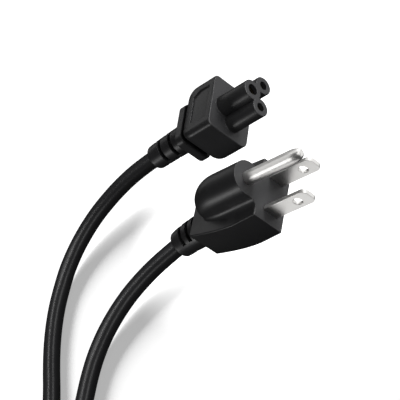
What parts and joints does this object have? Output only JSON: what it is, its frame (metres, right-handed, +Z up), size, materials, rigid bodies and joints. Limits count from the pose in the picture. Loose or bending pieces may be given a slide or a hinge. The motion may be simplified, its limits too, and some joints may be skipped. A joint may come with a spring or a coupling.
{
  "type": "cloverleaf power cord",
  "caption": "Black mains lead with a moulded cloverleaf connector on one end, a grounded three-pin plug on the other, and its spare length in a round coil.",
  "frame": {"origin": "middle of the plug's flat underside, on the floor", "axes": "+Y the way the plug's blades point, +Z up from the floor to the ground pin"},
  "size_m": [0.2362, 0.1455, 0.0241],
  "materials": {
    "moulded_pvc": "satin black moulded PVC with a fine grain",
    "cord_jacket": "smooth satin black PVC jacket",
    "nickel_plate": "bright nickel plate on brass, lightly brushed",
    "brass_sleeve": "drawn brass"
  },
  "bodies": {
    "root": {"plug_body": "moulded_pvc", "blade_line": "nickel_plate", "blade_neutral": "nickel_plate", "ground_pin": "nickel_plate", "connector_body": "moulded_pvc", "contact_line": "brass_sleeve", "contact_neutral": "brass_sleeve", "contact_earth": "brass_sleeve", "cord_plug_run": "cord_jacket", "cord_connector_run": "cord_jacket", "cord_coil": "cord_jacket"}
  },
  "joints": []
}
